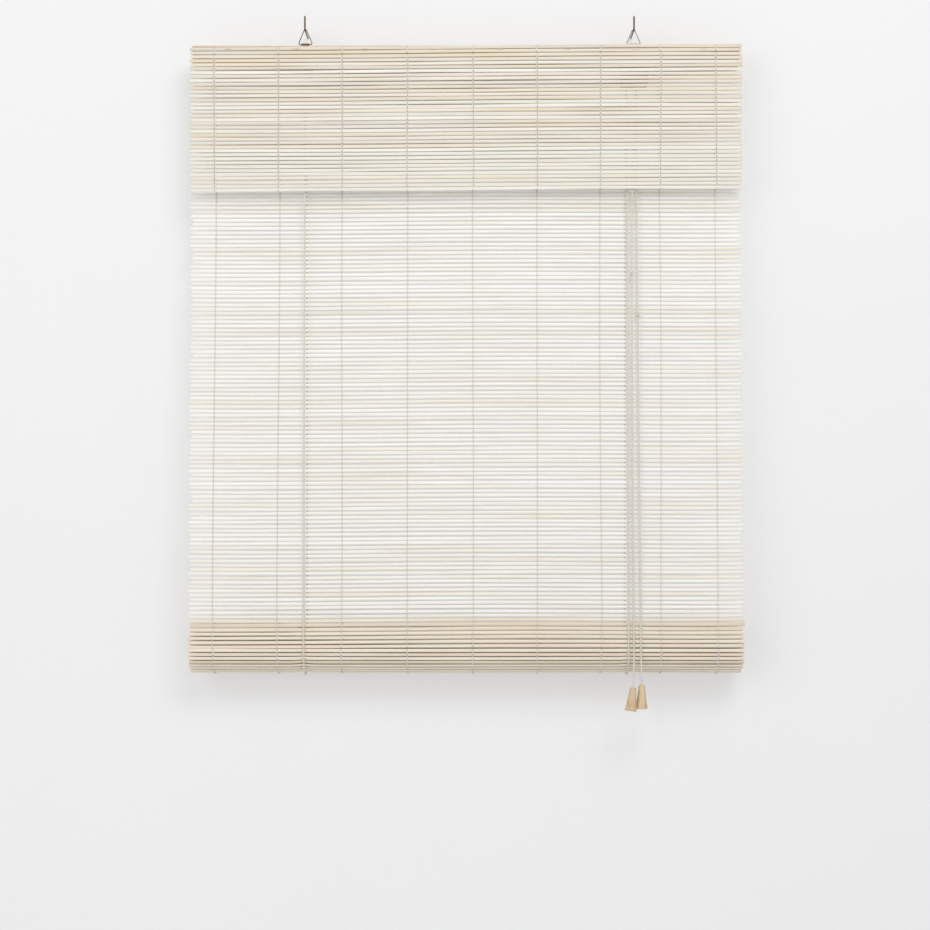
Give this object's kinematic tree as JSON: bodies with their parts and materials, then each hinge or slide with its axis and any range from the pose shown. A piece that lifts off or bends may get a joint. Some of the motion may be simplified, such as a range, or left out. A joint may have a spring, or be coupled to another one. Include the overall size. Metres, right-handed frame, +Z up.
{
  "type": "roll-up blind",
  "caption": "Woven bamboo roll-up blind on two wall hooks: headrail, short valance, slatted curtain wound on a bottom roll, two lift cords through a cord lock, bell tassels.",
  "frame": {"origin": "on the wall plane, midway between the two wall hooks' shanks", "axes": "+X to the right seen from the room, +Y into the wall, +Z up"},
  "size_m": [0.8, 0.1245, 1.0067],
  "materials": {
    "hook": "dark bronze wire, satin",
    "ring": "grey wire",
    "strap": "thin folded plate, brown",
    "screw": "small domed screws",
    "headrail": "pale planed wood",
    "curtain_slat": "split bamboo, pale, matte",
    "roll_slat": "split bamboo, warm beige, matte",
    "batten": "planed batten",
    "valance_slat": "split bamboo, ivory, matte",
    "weft_string": "twisted cotton string",
    "staple": "thin wire",
    "bracket": "folded plate, brass coloured",
    "wheel": "small grooved wheel",
    "pin": "rivet",
    "cam": "toothed gripping lever",
    "eye": "wire eye",
    "cord": "braided cotton cord, cream",
    "tassel": "turned wood, light tan, waxed"
  },
  "bodies": {
    "wall_hooks": {"wall_hook_left": "hook", "wall_hook_right": "hook"},
    "headrail": {"headrail": "headrail", "hanger_ring_left": "ring", "hanger_ring_right": "ring", "hanger_strap_left": "strap", "hanger_strap_right": "strap", "hanger_strap_screws": "screw", "valance_top_slats": "valance_slat", "valance_top_strings": "weft_string", "valance_staples": "staple", "curtain_staples": "staple", "curtain_slats": "curtain_slat", "curtain_strings": "weft_string", "pulley_bracket": "bracket", "pulley_axle": "pin", "lock_bracket": "bracket", "lock_roller_pin": "pin", "lock_cam_pin": "pin", "bracket_screws": "screw", "cord_eye_left": "eye", "cord_eye_right": "eye", "anchor_knot_left": "cord", "anchor_knot_right": "cord", "lift_cord_front_left": "cord", "lift_cord_front_right": "cord", "lift_cord_back_left": "cord", "lift_cord_back_right": "cord", "left_cord_crossing": "cord", "right_cord_turn": "cord"},
    "roll_carrier": {"cord_loop_left": "cord", "cord_loop_right": "cord"},
    "roll": {"roll_outer_slats": "roll_slat", "roll_inner_slats": "roll_slat", "roll_strings": "weft_string", "bottom_batten": "batten"},
    "valance": {"valance_slats": "valance_slat", "valance_strings": "weft_string"},
    "pulley_wheel": {"pulley_wheel": "wheel"},
    "lock_roller": {"lock_roller": "wheel"},
    "lock_cam": {"lock_cam": "cam"},
    "left_pull": {"pull_cord_left": "cord", "cord_knot_left": "cord", "tassel_left": "tassel", "tassel_knot_left": "cord"},
    "right_pull": {"pull_cord_right": "cord", "cord_knot_right": "cord", "tassel_right": "tassel", "tassel_knot_right": "cord"}
  },
  "joints": [
    {"name": "blind_swing", "type": "hinge", "parent": "wall_hooks", "child": "headrail", "pos_m": [0, -0.049, 0.0022], "axis": [1, 0, 0], "range_deg": [-15, 0]},
    {"name": "roll_lift", "type": "slide", "parent": "headrail", "child": "roll_carrier", "axis": [0, 0.0574, 0.9984], "range_m": [0, 0.76], "deforming": ["curtain_slats", "curtain_strings", "lift_cord_front_left", "lift_cord_front_right", "lift_cord_back_left", "lift_cord_back_right"]},
    {"name": "roll_spin", "type": "hinge", "parent": "roll_carrier", "child": "roll", "pos_m": [0, -0.047, -0.898], "axis": [1, 0, 0], "range_deg": [0, 1165]},
    {"name": "left_pull_slide", "type": "slide", "parent": "headrail", "child": "left_pull", "axis": [0, -0.0574, -0.9984], "range_m": [0, 1.525]},
    {"name": "right_pull_slide", "type": "slide", "parent": "headrail", "child": "right_pull", "axis": [0, -0.0574, -0.9984], "range_m": [0, 1.525]},
    {"name": "pulley_spin", "type": "hinge", "parent": "headrail", "child": "pulley_wheel", "pos_m": [-0.2337, -0.0523, -0.0633], "axis": [0, 1, 0], "range_deg": [0, 16440]},
    {"name": "lock_roller_spin", "type": "hinge", "parent": "headrail", "child": "lock_roller", "pos_m": [0.2361, -0.0493, -0.0651], "axis": [0, 1, 0], "range_deg": [0, 12270]},
    {"name": "cam_swing", "type": "hinge", "parent": "headrail", "child": "lock_cam", "pos_m": [0.2543, -0.0493, -0.07], "axis": [0, 1, 0], "range_deg": [0, 30]},
    {"name": "valance_swing", "type": "hinge", "parent": "headrail", "child": "valance", "pos_m": [-0.005, -0.06335, -0.0348], "axis": [1, 0, 0], "range_deg": [-40, 0]}
  ],
  "couplings": [
    {"joint": "roll_spin", "follows": "roll_lift", "rad_per_m": 26.667},
    {"joint": "left_pull_slide", "follows": "roll_lift", "ratio": 2},
    {"joint": "right_pull_slide", "follows": "roll_lift", "ratio": 2},
    {"joint": "pulley_spin", "follows": "roll_lift", "rad_per_m": 377.4},
    {"joint": "lock_roller_spin", "follows": "roll_lift", "rad_per_m": 281.7}
  ]
}
